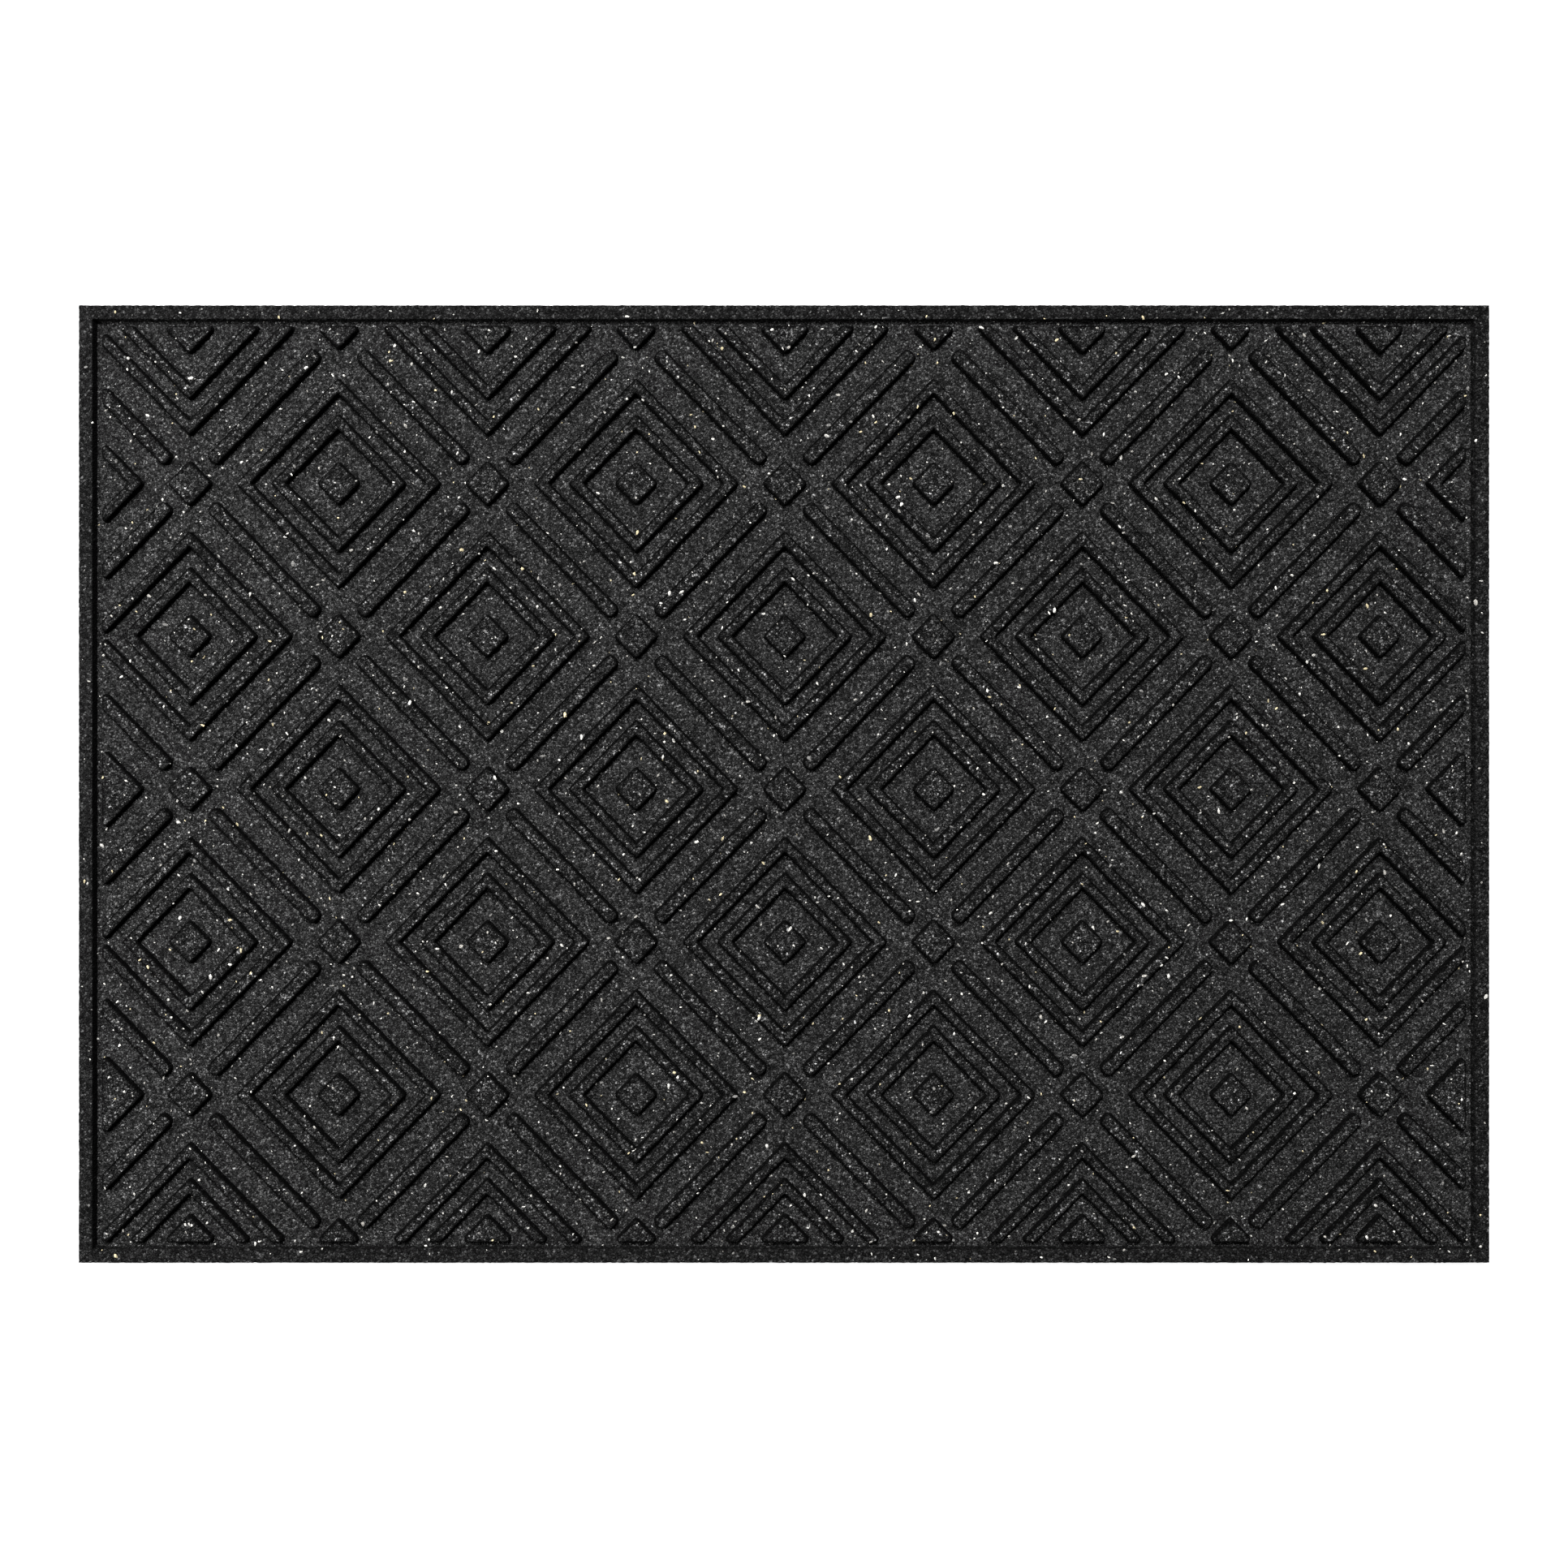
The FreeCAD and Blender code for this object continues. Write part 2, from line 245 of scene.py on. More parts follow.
def rounded_rows(corners, radii, offsets):
    """Points around a rounded polygon: one row for each outward offset, all with as many points."""
    corners = np.array(corners, float)
    count = len(corners)
    edges = np.roll(corners, -1, axis=0) - corners
    lengths = np.linalg.norm(edges, axis=1)
    along = edges / lengths[:, None]
    outward = np.stack([along[:, 1], -along[:, 0]], axis=1)
    rows = []
    steps = None
    for offset in offsets:
        mitre = outward + np.roll(outward, 1, axis=0)
        mitre /= (1 + np.sum(outward * np.roll(outward, 1, axis=0), axis=1))[:, None]
        moved = corners + offset * mitre
        sides = np.linalg.norm(np.roll(moved, -1, axis=0) - moved, axis=1)
        arcs = []
        for i in range(count):
            ahead, behind = along[i], along[i - 1]
            turn = math.atan2(behind[0] * ahead[1] - behind[1] * ahead[0], behind @ ahead)
            radius = max(radii[i] + math.copysign(offset, turn * offset), SMALLEST_RADIUS)
            half = math.tan(abs(turn) / 2)
            reach = min(radius * half, ARC_SHARE * min(sides[i - 1], sides[i]))
            arcs.append((moved[i] - behind * reach, reach / half, turn, behind))
        if steps is None:
            steps = []
            for i in range(count):
                bend = max(1, math.ceil(arcs[i][1] * abs(arcs[i][2]) / ARC_SPACING))
                straight = max(1, round(lengths[i] / WALL_SPACING))
                steps.append((bend, straight))
        row = []
        for i in range(count):
            start, radius, turn, behind = arcs[i]
            side = np.array((-behind[1], behind[0])) * math.copysign(1, turn)
            hub = start + side * radius
            for step in range(steps[i][0] + 1):
                angle = turn * step / steps[i][0]
                c, s = math.cos(angle), math.sin(angle)
                arm = start - hub
                row.append(hub + np.array((c * arm[0] - s * arm[1], s * arm[0] + c * arm[1])))
            last = row[-1]
            following = arcs[(i + 1) % count][0]
            for step in range(1, steps[i][1]):
                row.append(last + (following - last) * step / steps[i][1])
        rows.append(np.array(row))
    return rows


def inside(points, loops):
    """Which points lie inside the loops, by counting crossings."""
    result = np.zeros(len(points), bool)
    x, y = points[:, 0], points[:, 1]
    for loop in loops:
        for (x0, y0), (x1, y1) in zip(loop, np.roll(loop, -1, axis=0)):
            if y0 == y1:
                continue
            crosses = (y0 > y) != (y1 > y)
            result ^= crosses & (x < (x1 - x0) * (y - y0) / (y1 - y0) + x0)
    return result


def clear_of(points, loops, gap):
    """Which points are at least a gap away from every loop's own points."""
    result = np.ones(len(points), bool)
    for loop in loops:
        for corner in loop:
            result &= np.sum((points - corner) ** 2, axis=1) > gap * gap
    return result


def scatter(loops, spacing, rng):
    """Points inside the loops, on a jittered triangular grid that stays clear of the loops."""
    row_step, jitter, clearance = 0.87, 0.22, 0.72
    border = np.concatenate(loops)
    lowest, highest = border.min(axis=0), border.max(axis=0)
    xs = np.arange(lowest[0], highest[0], spacing)
    ys = np.arange(lowest[1], highest[1], spacing * row_step)
    grid = np.array([(x + (row % 2) * spacing / 2, y) for row, y in enumerate(ys) for x in xs])
    grid += rng.uniform(-jitter, jitter, grid.shape) * spacing
    grid = grid[inside(grid, loops)]
    return grid[clear_of(grid, loops, spacing * clearance)]


def triangulate(loops, extra=None):
    """Anticlockwise triangles inside the loops, over the loops' points and then the extra ones."""
    points = np.concatenate(loops if extra is None else [*loops, extra])
    links, start = [], 0
    for loop in loops:
        links += [(start + k, start + (k + 1) % len(loop)) for k in range(len(loop))]
        start += len(loop)
    flat = [Vector(p) for p in points]
    merge_within = 1e-6
    _, _, faces, origins, _, _ = geometry.delaunay_2d_cdt(flat, links, [], 0, merge_within)
    named = [group[0] if group else -1 for group in origins]
    triangles = np.array([[named[k] for k in face] for face in faces if len(face) == 3])
    triangles = triangles[(triangles >= 0).all(axis=1)]
    triangles = triangles[inside(points[triangles].mean(axis=1), loops)]
    first, second, third = (points[triangles[:, k]] for k in range(3))
    (ax, ay), (bx, by) = (second - first).T, (third - first).T
    clockwise = ax * by < ay * bx
    triangles[clockwise] = triangles[clockwise][:, ::-1]
    return triangles


# ---------------------------------------------------------------- meshes


NO_QUADS = np.zeros((0, 4), int)
NO_TRIANGLES = np.zeros((0, 3), int)


class Form:
    """Points in millimetres with their quads and triangles, to be joined into one mesh.

    Each point holds a share that runs from full painted shade to none, and flat holds the numbers
    of
    the faces shaded flat: quads are counted first, then triangles.
    """

    def __init__(self):
        self.points, self.crumb, self.total = [], [], 0
        self.quads, self.triangles = [NO_QUADS], [NO_TRIANGLES]
        self.flat = []

    def add(self, points, quads, triangles, crumb=NO_PAINTED_SHADE):
        self.points.append(points)
        self.crumb.append(np.broadcast_to(crumb, len(points)))
        self.quads.append(quads + self.total)
        self.triangles.append(triangles + self.total)
        self.total += len(points)


def make_piece(name, form, material, replaced):
    """A mesh object from a form, riding on the mat and standing for its CAD nodes."""
    points = np.concatenate(form.points) * MM
    quads, triangles = np.concatenate(form.quads), np.concatenate(form.triangles)
    mesh = bpy.data.meshes.new(name)
    mesh.vertices.add(len(points))
    mesh.vertices.foreach_set("co", points.astype(np.float32).ravel())
    mesh.loops.add(quads.size + triangles.size)
    corners = np.concatenate([quads.ravel(), triangles.ravel()]).astype(np.int32)
    mesh.loops.foreach_set("vertex_index", corners)
    mesh.polygons.add(len(quads) + len(triangles))
    starts = np.concatenate([np.arange(len(quads)) * 4, quads.size + np.arange(len(triangles)) * 3])
    mesh.polygons.foreach_set("loop_start", starts.astype(np.int32))
    mesh.update(calc_edges=True)
    mesh.validate()
    smooth = np.ones(len(mesh.polygons), bool)
    smooth[form.flat] = False
    mesh.polygons.foreach_set("use_smooth", smooth)
    shown = mesh.attributes.new("crumb", "FLOAT", "POINT")
    shown.data.foreach_set("value", np.concatenate(form.crumb).astype(np.float32))
    mesh.materials.append(material)
    piece = bpy.data.objects.new(name, mesh)
    bpy.context.scene.collection.objects.link(piece)
    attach(piece, "root")
    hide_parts(*replaced)
    return piece


def moulded_solid(outlines, convex_radius, rng):
    """A closed solid over an outline and any holes: buried foot, drafted wall and rounded edge.

    Returns its points, quads, triangles and the number of points in each row of the wall, which
    come first, row by row from the foot up.
    """
    offsets = [offset for _, offset in WALL_PROFILE]
    rows_of = []
    for outline in outlines:
        rows_of.append(rounded_rows(outline, corner_radii(outline, convex_radius), offsets))
    crown = [rows[-1] for rows in rows_of]
    extra = scatter(crown, TOP_SPACING, rng)
    top = triangulate(crown, extra)
    bottom = triangulate([rows[0] for rows in rows_of])
    per_row = sum(len(rows[0]) for rows in rows_of)
    points, quads, start = [], [], 0
    for level, (height, _) in enumerate(WALL_PROFILE):
        flat = np.concatenate([rows[level] for rows in rows_of])
        points.append(np.column_stack([flat, np.full(len(flat), BASE_TOP + height)]))
    points.append(np.column_stack([extra, np.full(len(extra), RELIEF_TOP)]))
    for rows in rows_of:
        count = len(rows[0])
        here = start + np.arange(count)
        after = start + (np.arange(count) + 1) % count
        for level in range(len(WALL_PROFILE) - 1):
            below, above = level * per_row, (level + 1) * per_row
            ring = [here + below, after + below, after + above, here + above]
            quads.append(np.column_stack(ring))
        start += count
    last_row = (len(WALL_PROFILE) - 1) * per_row
    triangles = np.concatenate([top + last_row, bottom[:, ::-1]])
    return np.concatenate(points), np.concatenate(quads), triangles, per_row


def grainy(points, per_row, rng):
    """A solid's points with ragged edges and a grain, apart from its buried foot."""
    rows = len(WALL_PROFILE)
    moved = points.copy()
    wander = rng.normal(0, EDGE_WANDER, (per_row, 2))
    for level in range(1, rows):
        moved[level * per_row:(level + 1) * per_row, :2] += wander
    moved[per_row:] += rng.normal(0, GRAIN_HEIGHT / 2, (len(points) - per_row, 3))
    crown = moved[(rows - 1) * per_row:]
    crown[:, Z] += np.clip(rng.normal(0, GRAIN_HEIGHT, len(crown)), *RELIEF_GRAIN_LIMITS)
    return moved


# ---------------------------------------------------------------- materials


def node(tree, kind, **settings):
    """A shader node with its properties and inputs set by name."""
    made = tree.nodes.new(kind)
    for name, value in settings.items():
        if hasattr(made, name):
            setattr(made, name, value)
        else:
            made.inputs[name.replace("_", " ")].default_value = value
    return made


def ramp(tree, source, stops):
    """A colour ramp over a value: stops are (place, grey)."""
    made = tree.nodes.new("ShaderNodeValToRGB")
    elements = made.color_ramp.elements
    while len(elements) < len(stops):
        elements.new(0.5)
    for element, (place, grey) in zip(elements, stops):
        element.position = place
        element.color = (grey, grey, grey, 1)
    tree.links.new(source, made.inputs["Fac"])
    return made.outputs["Color"]


def multiply(tree, first, second):
    """One colour times another."""
    made = tree.nodes.new("ShaderNodeMix")
    made.data_type = "RGBA"
    made.blend_type = "MULTIPLY"
    made.inputs["Factor"].default_value = 1.0
    colour_a, colour_b, colour_out = 6, 7, 2
    tree.links.new(first, made.inputs[colour_a])
    tree.links.new(second, made.inputs[colour_b])
    return made.outputs[colour_out]


def matt_material(name, specular):
    """A new matt material, its node tree and its shader."""
    material = bpy.data.materials.new(name)
    material.use_nodes = True
    tree = material.node_tree
    shader = tree.nodes["Principled BSDF"]
    shader.inputs["Specular IOR Level"].default_value = specular
    shader.inputs["Roughness"].default_value = 0.85
    return material, tree, shader


# Places in a uniform draw, and how many standard deviations from the middle each one stands.
NORMAL_QUANTILES = [
    (0.0, -2.2), (0.06, -1.55), (0.25, -0.67), (0.5, 0.0), (0.75, 0.67), (0.94, 1.55), (1.0, 2.4),
]


def tones(middle, spread):
    """Ramp stops that turn a uniform draw into log-normal tones around a middle one."""
    return [(place, middle * math.exp(spread * deviation)) for place, deviation in NORMAL_QUANTILES]


def crumb_rubber(name, tone, grain, spread, gap, depth):
    """Bonded black crumb of grains of mixed tone.

    tone is the grains' middle grey and spread the scatter of their tones, grain their size in mm,
    gap how bright the gaps between them are (0 is black), and depth how deep the gaps are in mm.
    """
    material, tree, shader = matt_material(name, specular=0.08)
    place = tree.nodes.new("ShaderNodeTexCoord").outputs["Object"]

    # Grains are cells with bent edges, and finer ones lie over them.
    warp = node(tree, "ShaderNodeTexNoise", Scale=700.0, Detail=1.0)
    tree.links.new(place, warp.inputs["Vector"])
    bend = node(tree, "ShaderNodeVectorMath", operation="MULTIPLY_ADD")
    bend.inputs[1].default_value = (grain * MM,) * 3
    tree.links.new(warp.outputs["Color"], bend.inputs[0])
    tree.links.new(place, bend.inputs[2])
    per_metre = 1 / (grain * MM)
    fines_per_grain = 1.6
    grains = node(tree, "ShaderNodeTexVoronoi", Scale=per_metre)
    gaps = node(tree, "ShaderNodeTexVoronoi", feature="DISTANCE_TO_EDGE", Scale=per_metre)
    fines = node(tree, "ShaderNodeTexVoronoi", Scale=fines_per_grain * per_metre)
    for texture in (grains, gaps, fines):
        tree.links.new(bend.outputs[0], texture.inputs["Vector"])
    grain_chance = tree.nodes.new("ShaderNodeSeparateColor")
    fine_chance = tree.nodes.new("ShaderNodeSeparateColor")
    tree.links.new(grains.outputs["Color"], grain_chance.inputs[0])
    tree.links.new(fines.outputs["Color"], fine_chance.inputs[0])
    grain_tone = ramp(tree, grain_chance.outputs[0], tones(tone, spread))
    fine_spread = 1.1 * spread
    fine_tone = ramp(tree, fine_chance.outputs[0], tones(1.0, fine_spread))
    gap_tones = [(0.0, gap), (0.12, (1 + gap) / 2), (0.25, 1.0)]
    gap_tone = ramp(tree, gaps.outputs["Distance"], gap_tones)
    patches = node(tree, "ShaderNodeTexNoise", Scale=120.0, Detail=4.0)
    tree.links.new(place, patches.inputs["Vector"])
    patch_tone = ramp(tree, patches.outputs["Fac"], [(0.3, 0.87), (0.7, 1.13)])
    grain_colour = multiply(tree, grain_tone, gap_tone)
    colour = multiply(tree, grain_colour, multiply(tree, fine_tone, patch_tone))

    # Painted shade: where the point attribute asks for it, the walls are painted nearly black.
    shown = node(tree, "ShaderNodeAttribute", attribute_name="crumb")
    painted_shade = ramp(tree, shown.outputs["Fac"], [(FULL_PAINTED_SHADE, 0.04), (NO_PAINTED_SHADE, 1.0)])
    tree.links.new(multiply(tree, colour, painted_shade), shader.inputs["Base Color"])

    # Grains stand out of the gaps, and finer ones stand at heights of their own.
    height = ramp(tree, gaps.outputs["Distance"], [(0.0, 0.0), (0.2, 0.8), (0.45, 1.0)])
    coarse = node(tree, "ShaderNodeBump", Strength=1.0, Distance=depth * MM)
    tree.links.new(height, coarse.inputs["Height"])
    fine_depth = depth * 0.35
    fine = node(tree, "ShaderNodeBump", Strength=1.0, Distance=fine_depth * MM)
    tree.links.new(fine_chance.outputs[1], fine.inputs["Height"])
    tree.links.new(coarse.outputs["Normal"], fine.inputs["Normal"])
    tree.links.new(fine.outputs["Normal"], shader.inputs["Normal"])
    return material


def granule_rubber():
    """The pale granules: each one's own tint, dusted with black."""
    material, tree, shader = matt_material("pale_granules", specular=0.3)
    tint = node(tree, "ShaderNodeAttribute", attribute_name="tint")
    place = tree.nodes.new("ShaderNodeTexCoord").outputs["Object"]
    dust = node(tree, "ShaderNodeTexNoise", Scale=1600.0, Detail=3.0)
    tree.links.new(place, dust.inputs["Vector"])
    speckle = ramp(tree, dust.outputs["Fac"], [(0.36, 0.25), (0.5, 1.0)])
    tree.links.new(multiply(tree, tint.outputs["Color"], speckle), shader.inputs["Base Color"])
    return material


# ---------------------------------------------------------------- the mat


def build_relief(material):
    """Rings, blocks, triangles and bars. Returns every top outline, for placing granules."""
    all_outlines = []

    def build(name, shapes, seed):
        """A piece from (outlines, corner radius) shapes, standing for the CAD node of its name."""
        rng = np.random.default_rng(seed)
        form = Form()
        for outlines, radius in shapes:
            points, quads, triangles, per_row = moulded_solid(outlines, radius, rng)
            crumb = np.full(len(points), NO_PAINTED_SHADE)
            # Painted shade: the wall rows, up to the rounded edge of the top, are painted nearly
            # black.
            crumb[:per_row * len(WALL_PROFILE)] = FULL_PAINTED_SHADE
            form.add(grainy(points, per_row, rng), quads, triangles, crumb)
            all_outlines.append([np.array(points) for points in outlines])
        make_piece("moulded_" + name, form, material, [name])

    def rings(row, reach, columns):
        """The rings of a row: chevrons at the long sides, cut at the short sides, else whole."""
        shapes = []
        for column in columns:
            centre = (CENTRE_X + column * PITCH_X, CENTRE_Y + row * PITCH_Y)
            if row in (FIRST_ROW, LAST_ROW):
                outlines = [trim_to_field(chevron(centre, reach, 1 if row < 0 else -1))]
            elif abs(centre[0]) + reach - RING_DEPTH > FIELD_X:
                outlines = [trim_to_field(slit_ring(centre, reach, 0 if column > 0 else 2))]
            else:
                outlines = [diamond(centre, reach), diamond(centre, reach - RING_DEPTH)[::-1]]
            shapes.append((outlines, RING_RADIUS))
        return shapes

    def diamonds(y, reach, columns, radius):
        """Solid diamonds in a row, cut to the field."""
        shapes = []
        for column in columns:
            outline = trim_to_field(diamond((CENTRE_X + column * PITCH_X, y), reach))
            shapes.append(([outline], radius))
        return shapes

    for row in range(FIRST_ROW, LAST_ROW + 1):
        number = row - FIRST_ROW + 1
        seed = 100 * number
        y = CENTRE_Y + row * PITCH_Y
        odd = row % 2 != 0
        motifs, junctions = (FIVE_COLUMNS, FOUR_COLUMNS) if odd else (FOUR_COLUMNS, FIVE_COLUMNS)
        outer_motifs = SIX_COLUMNS if row == CUT_RINGS_ROW else motifs
        if row in (FIRST_ROW, LAST_ROW):
            block_y = math.copysign(FIELD_Y, row)
            centre_reach, junction_reach = EDGE_CENTRE_REACH, EDGE_JUNCTION_REACH
        else:
            block_y = y
            centre_reach, junction_reach = CENTRE_REACH, JUNCTION_REACH
        centres = diamonds(block_y, centre_reach, motifs, BLOCK_RADIUS)
        blocks = diamonds(block_y, junction_reach, junctions, BLOCK_RADIUS)
        build(f"outer_rings_row_{number}", rings(row, OUTER_REACH, outer_motifs), seed)
        build(f"inner_rings_row_{number}", rings(row, INNER_REACH, motifs), seed + 1)
        build(f"centre_blocks_row_{number}", centres, seed + 2)
        build(f"junction_blocks_row_{number}", blocks, seed + 3)
        if not odd and row != CUT_RINGS_ROW:
            triangles = diamonds(y, OUTER_REACH, (-FAR_COLUMN, FAR_COLUMN), RING_RADIUS)
            build(f"side_blocks_row_{number}", triangles, seed + 4)

    along = np.array((PITCH_X, PITCH_Y)) / math.hypot(PITCH_X, PITCH_Y)
    for band in range(FIRST_ROW, LAST_ROW):
        number = band - FIRST_ROW + 1
        y = CENTRE_Y + (band + 0.5) * PITCH_Y
        for way, sign in (("rising", 1), ("falling", -1)):
            first = -FAR_COLUMN if (band % 2 != 0) == (way == "rising") else -FAR_COLUMN + 1
            long_way = along * (1, sign)
            cross_way = np.array((-long_way[1], long_way[0]))
            shapes = []
            for column in range(first, first + 2 * FAR_COLUMN, 2):
                centre = np.array((CENTRE_X + (column + 0.5) * PITCH_X, y))
                outline = []
                for u, v in ((-1, -1), (1, -1), (1, 1), (-1, 1)):
                    end = centre + long_way * u * BAR_LENGTH / 2
                    outline.append(end + cross_way * v * BAR_WIDTH / 2)
                shapes.append(([trim_to_field(outline)], BAR_RADIUS))
            build(f"{way}_bars_band_{number}", shapes, 1000 + 10 * number + sign)
    return all_outlines


# The rim's section, as distances in from the mat's edge and heights, from underneath the inner wall
# outwards, up and back.
RIM_SECTION = np.array([
    # underside and bottom edge
    (9.0, 0.0), (6.0, 0.0), (3.0, 0.0), (0.5, 0.0), (0.12, 0.12),
    # outer wall
    (0.0, 0.5), (0.0, 1.8), (0.0, 3.1), (0.0, 4.4), (0.0, 5.7), (0.0, 7.0), (0.02, 7.5),
    (0.16, 7.86),
    # top
    (0.55, 8.0), (1.8, 8.0), (3.1, 8.0), (4.4, 8.0), (5.7, 8.0), (7.0, 8.0), (8.45, 8.0),
    # inner wall, and its foot buried in the sheet
    (8.85, 7.9), (9.02, 7.5), (9.3, 6.3), (9.55, 5.1), (9.75, 4.5), (9.75, 3.8), (9.75, 0.3),
    (9.0, 0.3),
])
# The inner wall is further in than this, and the grain and the top are higher than these.
INNER_WALL_FROM = 8.6
GRAIN_FROM_HEIGHT = 0.2
TOP_FROM_HEIGHT = 7.95
# How much further the foot of the inner wall stands in on the short sides than on the long ones.
SHORT_SIDE_LEAN = 0.9
# How much of the painted shade each side's inner wall is spared, by how the light falls on it.
RIM_WALL_UNSHADED_SHARE = {"rim_front": 0.35, "rim_right": 0.45, "rim_back": 0.9, "rim_left": FULL_PAINTED_SHADE}
# Grain and wander of the rim, as shares of GRAIN_HEIGHT and EDGE_WANDER.
RIM_WALL_GRAIN = 0.55
RIM_EDGE_WANDER = 0.6


def build_rim(material):
    """The four mitred sides of the rim, cut from one closed grid so that they meet exactly."""
    rng = np.random.default_rng(7)
    corners = np.array([(-1, -1), (1, -1), (1, 1), (-1, 1)])
    inward, height = RIM_SECTION.T
    across = len(RIM_SECTION)

    # Places around the mat's edge, as fractions of its half length and half width.
    places, starts = [], {}
    for name, start, end in zip(RIM_WALL_UNSHADED_SHARE, corners, np.roll(corners, -1, axis=0)):
        length = 2 * (HALF_LENGTH if start[1] == end[1] else HALF_WIDTH)
        steps = round(length / WALL_SPACING)
        starts[name] = len(places)
        places += [start + (end - start) * step / steps for step in range(steps)]
    ends = [*starts.values()][1:] + [len(places)]
    places = np.array(places, float)

    # A section stands at each place, with its inner foot further in on the short sides.
    in_wall = inward > INNER_WALL_FROM
    lean = np.clip((RELIEF_TOP - height) / RELIEF_HEIGHT, 0, 1) * in_wall
    inward_by_side = inward[:, None] + lean[:, None] * (SHORT_SIDE_LEAN, 0.0)
    grid = np.zeros((len(places), across, 3))
    grid[:, :, :2] = places[:, None, :] * ((HALF_LENGTH, HALF_WIDTH) - inward_by_side)[None]
    grid[:, :, Z] = height
    grained, on_top = height > GRAIN_FROM_HEIGHT, height > TOP_FROM_HEIGHT
    wall_grain = GRAIN_HEIGHT * RIM_WALL_GRAIN
    grid[:, grained, :] += rng.normal(0, wall_grain, (len(places), grained.sum(), 3))
    top_grain = rng.normal(0, GRAIN_HEIGHT, (len(places), on_top.sum()))
    grid[:, on_top, Z] += np.clip(top_grain, *RIM_GRAIN_LIMITS)
    grid[:, grained, :2] += rng.normal(0, EDGE_WANDER, (len(places), 1, 2)) * RIM_EDGE_WANDER
    grid = np.concatenate([grid, grid[:1]])

    cap = across - 1 - triangulate([RIM_SECTION[::-1]])
    for (name, start), end in zip(starts.items(), ends):
        part = grid[start:end + 1]
        rows = len(part)
        index = np.arange(rows * across).reshape(rows, across)
        turned = np.roll(index, -1, axis=1)
        quads = np.stack([index[:-1], index[1:], turned[1:], turned[:-1]], axis=-1).reshape(-1, 4)
        caps = np.concatenate([cap[:, ::-1], cap + (rows - 1) * across])
        # Painted shade on the inner wall, more or less of it by side.
        crumb = np.where(in_wall & grained, RIM_WALL_UNSHADED_SHARE[name], NO_PAINTED_SHADE)
        form = Form()
        form.add(part.reshape(-1, 3), quads[:, ::-1], caps, np.tile(crumb, rows))
        form.flat = np.arange(len(quads), len(quads) + len(caps))
        make_piece("moulded_" + name, form, material, [name])


# Tiles in each direction, and how far points of the top stray, as a share of their spacing.
TILES = 4
SHEET_JITTER = 0.3


def build_sheet(material):
    """The flat sheet as a grid of closed tiles whose edges meet exactly."""
    rng = np.random.default_rng(3)
    reach_x, reach_y = HALF_LENGTH - RIM_WIDTH, HALF_WIDTH - RIM_WIDTH
    per_tile_x = round(2 * reach_x / SHEET_SPACING / TILES)
    per_tile_y = round(2 * reach_y / SHEET_SPACING / TILES)
    nx, ny = per_tile_x * TILES, per_tile_y * TILES
    top = np.zeros((nx + 1, ny + 1, 3))
    top[..., X] = np.linspace(-reach_x, reach_x, nx + 1)[:, None]
    top[..., Y] = np.linspace(-reach_y, reach_y, ny + 1)[None, :]
    jitter = rng.uniform(-SHEET_JITTER, SHEET_JITTER, (nx - 1, ny - 1, 2))
    top[1:-1, 1:-1, :2] += jitter * SHEET_SPACING
    grain = np.clip(rng.normal(0, GRAIN_HEIGHT, (nx + 1, ny + 1)), *SHEET_GRAIN_LIMITS)
    top[..., Z] = BASE_TOP + grain
    for tile_x in range(TILES):
        for tile_y in range(TILES):
            part = top[tile_x * per_tile_x:(tile_x + 1) * per_tile_x + 1,
                       tile_y * per_tile_y:(tile_y + 1) * per_tile_y + 1]
            wide, deep = part.shape[:2]
            index = np.arange(wide * deep).reshape(wide, deep)
            square = [index[:-1, :-1], index[1:, :-1], index[1:, 1:], index[:-1, 1:]]
            quads = np.stack(square, axis=-1).reshape(-1, 4)
            edges = [index[:-1, 0], index[-1, :-1], index[:0:-1, -1], index[0, :0:-1]]
            border = np.concatenate(edges)
            points = part.reshape(-1, 3)
            foot = points[border] * (1, 1, 0)
            below = len(points) + np.arange(len(border))
            sides = np.column_stack([below, np.roll(below, -1), np.roll(border, -1), border])
            extra = scatter([foot[:, :2]], UNDERSIDE_SPACING, rng)
            under = triangulate([foot[:, :2]], extra)
            extra = np.column_stack([extra, np.zeros(len(extra))])
            form = Form()
            all_points = np.concatenate([points, foot, extra])
            form.add(all_points, np.concatenate([quads, sides]), under[:, ::-1] + len(points))
            form.flat = np.arange(len(quads), len(quads) + len(sides) + len(under))
            name = f"sheet_{tile_x + 1}_{tile_y + 1}"
            make_piece(name, form, material, ["base_sheet"])


# Tints of the pale granules, and what share of them has each: cream, straw, grey and dark grey.
GRANULE_TINTS = np.array([
    (0.98, 0.96, 0.90), (0.95, 0.82, 0.52), (0.52, 0.50, 0.46), (0.25, 0.245, 0.235),
])
GRANULE_SHARES = (0.46, 0.12, 0.22, 0.20)
TOP_GRANULES = 3300
# How far in from the mat's edges and ends they stay.
GRANULE_MARGIN = 2.0
# Sizes are log-normal: middle one, spread and limits.
GRANULE_MIDDLE, GRANULE_SPREAD, GRANULE_LIMITS = 1.32, 0.36, (0.7, 3.3)
# Limits of each one's length, width and height, as shares of its size.
GRANULE_STRETCH = ((0.9, 1.65), (0.65, 1.0), (0.5, 0.75))
# Limits of each corner's distance from the middle, and of how bright each granule's tint is.
GRANULE_LUMPS = (0.78, 1.15)
GRANULE_BRIGHTNESS = (0.75, 1.2)
# How far below the surface a granule's middle is, as a share of its size.
GRANULE_DEPTH = 0.1
# Granules in each of the outer walls.
SHORT_WALL_GRANULES, LONG_WALL_GRANULES = 60, 90
WALL_GRANULE_LIMITS = (0.8, 1.5)
WALL_GRANULE_DEPTH = 0.35
WALL_GRANULE_HEIGHTS = (1.0, RELIEF_TOP - 1.2)
# Granules in the walls are this much taller, so that they look as wide as those in the tops.
WALL_GRANULE_RISE = 1.5


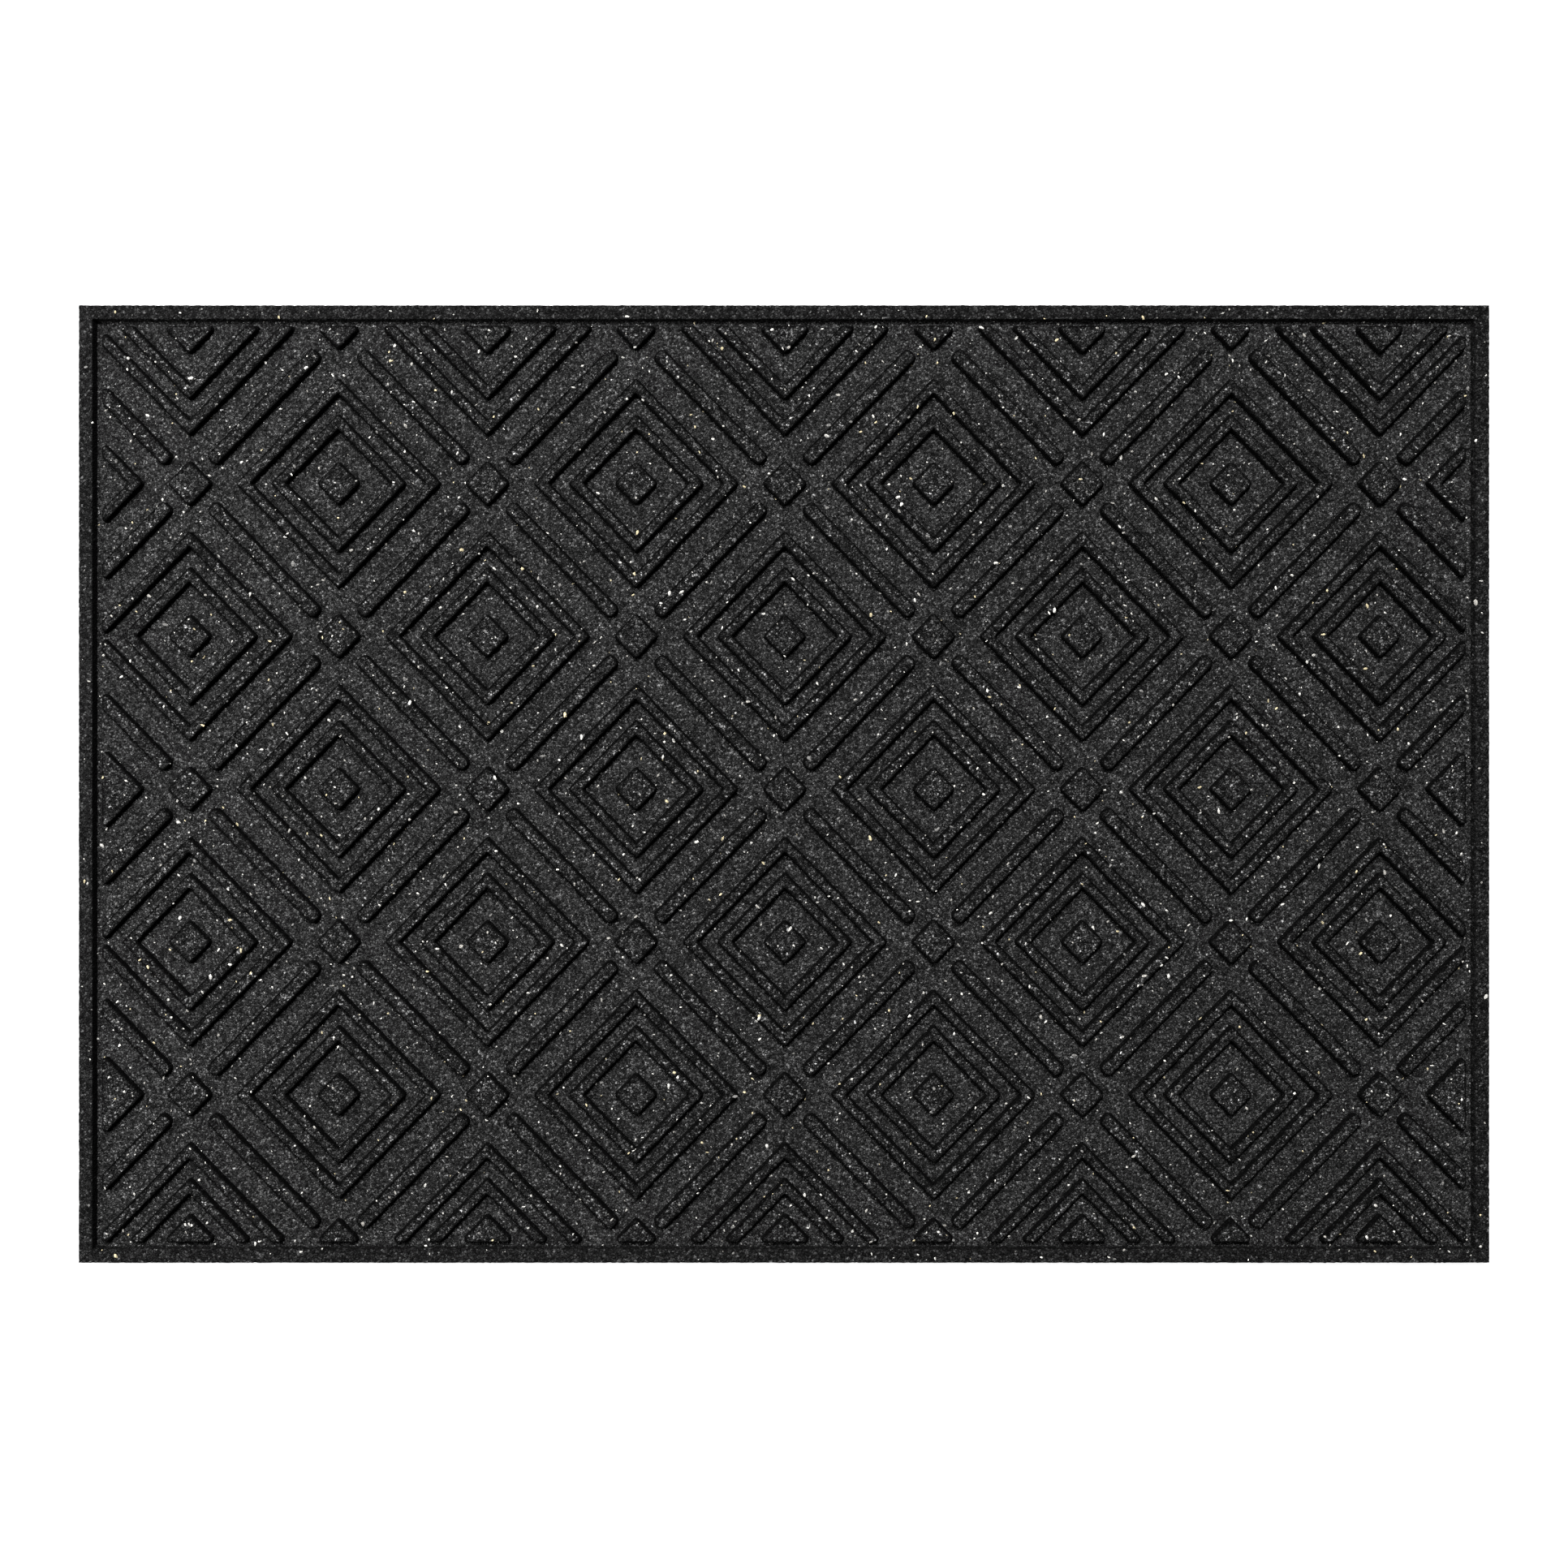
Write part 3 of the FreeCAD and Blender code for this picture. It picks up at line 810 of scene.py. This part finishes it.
def icosahedron():
    """Corners on a unit ball, and outward triangles."""
    golden = (1 + math.sqrt(5)) / 2
    corners = []
    for a in (-1, 1):
        for b in (-golden, golden):
            corners += [(0, a, b), (a, b, 0), (b, 0, a)]
    ball = np.array(corners) / math.hypot(1, golden)
    longest_edge = 1.1
    faces = []
    for i, j, k in itertools.combinations(range(len(ball)), 3):
        sides = [np.linalg.norm(ball[p] - ball[q]) for p, q in ((i, j), (j, k), (i, k))]
        if max(sides) < longest_edge:
            outward = np.dot(np.cross(ball[j] - ball[i], ball[k] - ball[i]), ball[i]) > 0
            faces.append((i, j, k) if outward else (i, k, j))
    return ball, np.array(faces)


def build_granules(material, outlines):
    """Pale granules, half buried in the sheet, the relief, the rim and the outer walls."""
    rng = np.random.default_rng(11)
    reach = np.array((HALF_LENGTH, HALF_WIDTH))
    places = rng.uniform(-1, 1, (TOP_GRANULES, 2)) * (reach - GRANULE_MARGIN)
    raised = (abs(places) > reach - RIM_WIDTH).any(axis=1)
    for loops in outlines:
        raised |= inside(places, loops)
    sizes = np.exp(rng.normal(math.log(GRANULE_MIDDLE), GRANULE_SPREAD, TOP_GRANULES))
    sizes = np.clip(sizes, *GRANULE_LIMITS)
    kinds = rng.choice(len(GRANULE_TINTS), TOP_GRANULES, p=GRANULE_SHARES)
    surface = np.where(raised, RELIEF_TOP, BASE_TOP)
    centres = np.column_stack([places, surface - GRANULE_DEPTH * sizes])
    rises = np.ones(TOP_GRANULES)

    for side in (-1, 1):
        for across, count in ((X, SHORT_WALL_GRANULES), (Y, LONG_WALL_GRANULES)):
            along = Y if across == X else X
            run = reach[along] - GRANULE_MARGIN
            more = np.full((count, 3), side * (reach[across] - WALL_GRANULE_DEPTH))
            more[:, along] = rng.uniform(-run, run, count)
            more[:, Z] = rng.uniform(*WALL_GRANULE_HEIGHTS, count)
            centres = np.concatenate([centres, more])
            rises = np.append(rises, np.full(count, WALL_GRANULE_RISE))
            sizes = np.append(sizes, rng.uniform(*WALL_GRANULE_LIMITS, count))
            kinds = np.append(kinds, rng.integers(len(GRANULE_TINTS), size=count))

    ball, faces = icosahedron()
    form = Form()
    tints = []
    for centre, rise, size, kind in zip(centres, rises, sizes, kinds):
        shape = ball * rng.uniform(*GRANULE_LUMPS, (len(ball), 1))
        length, width, height = (rng.uniform(*limits) for limits in GRANULE_STRETCH)
        shape = shape * (length, width, height * rise)
        angle = rng.uniform(0, 2 * math.pi)
        c, s = math.cos(angle), math.sin(angle)
        shape = shape @ np.array(((c, s, 0), (-s, c, 0), (0, 0, 1))) * size / 2
        form.add(shape + centre, NO_QUADS, faces)
        tint = GRANULE_TINTS[kind] * rng.uniform(*GRANULE_BRIGHTNESS)
        tints.append(np.tile((*tint, 1.0), (len(ball), 1)))
    form.flat = np.arange(len(faces) * len(centres))
    piece = make_piece("pale_granules", form, material, [])
    layer = piece.data.color_attributes.new("tint", "FLOAT_COLOR", "POINT")
    layer.data.foreach_set("color", np.concatenate(tints).astype(np.float32).ravel())


# ---------------------------------------------------------------- stage


def area_light(name, place, aim, size, power):
    """A white rectangular lamp. place, aim and size are in metres and power in watts."""
    data = bpy.data.lights.new(name, "AREA")
    data.shape = "RECTANGLE"
    data.size, data.size_y = size
    data.energy = power
    lamp = bpy.data.objects.new(name, data)
    lamp.location = place
    lamp.rotation_euler = (Vector(aim) - Vector(place)).to_track_quat("-Z", "Y").to_euler()
    bpy.context.scene.collection.objects.link(lamp)


def build_floor():
    """A pale floor that glows a little, so that it stays white with hardly a shadow."""
    bpy.ops.mesh.primitive_plane_add(size=12)
    floor = bpy.context.object
    floor.name = "floor"
    paint = bpy.data.materials.new("floor_paint")
    paint.use_nodes = True
    settings = paint.node_tree.nodes["Principled BSDF"].inputs
    settings["Base Color"].default_value = (0.86, 0.86, 0.86, 1)
    settings["Roughness"].default_value = 0.9
    settings["Emission Color"].default_value = (1, 1, 1, 1)
    settings["Emission Strength"].default_value = 0.9
    floor.data.materials.append(paint)


def build_sky():
    """A sky that is white to look at, but adds little light of its own."""
    seen, added = 1.0, 0.037
    world = bpy.data.worlds.new("studio")
    world.use_nodes = True
    tree = world.node_tree
    background = tree.nodes["Background"].inputs
    background["Color"].default_value = (1, 1, 1, 1)
    path = tree.nodes.new("ShaderNodeLightPath")
    strength = node(tree, "ShaderNodeMapRange", To_Min=added, To_Max=seen)
    tree.links.new(path.outputs["Is Camera Ray"], strength.inputs["Value"])
    tree.links.new(strength.outputs["Result"], background["Strength"])
    bpy.context.scene.world = world


def build_stage():
    """Floor, soft studio light and a camera straight above the middle of the mat."""
    scene = bpy.context.scene
    build_floor()
    area_light("key", place=(-0.1, 3.9, 4.8), aim=(0, 0, 0), size=(1.4, 1.4), power=525)
    area_light("fill", place=(-1.6, 0.3, 0.9), aim=(-0.3, 0, 0), size=(0.6, 1.2), power=27)
    build_sky()
    scene.view_settings.view_transform = "Standard"

    distance, seen_width = 1.0, 1.0
    camera = bpy.data.cameras.new("camera")
    camera.angle = 2 * math.atan(seen_width / 2 / distance)
    viewer = bpy.data.objects.new("camera", camera)
    viewer.location = (0, 0, RELIEF_TOP * MM + distance)
    scene.collection.objects.link(viewer)
    scene.camera = viewer


def main():
    sheet = crumb_rubber("sheet_crumb", tone=0.032, grain=1.35, spread=0.62, gap=0.55, depth=0.6)
    relief = crumb_rubber("relief_crumb", tone=0.0395, grain=1.6, spread=0.7, gap=0.25, depth=1.2)
    rim = crumb_rubber("rim_crumb", tone=0.0215, grain=1.8, spread=0.55, gap=0.4, depth=0.9)
    build_sheet(sheet)
    build_rim(rim)
    outlines = build_relief(relief)
    build_granules(granule_rubber(), outlines)
    build_stage()


main()
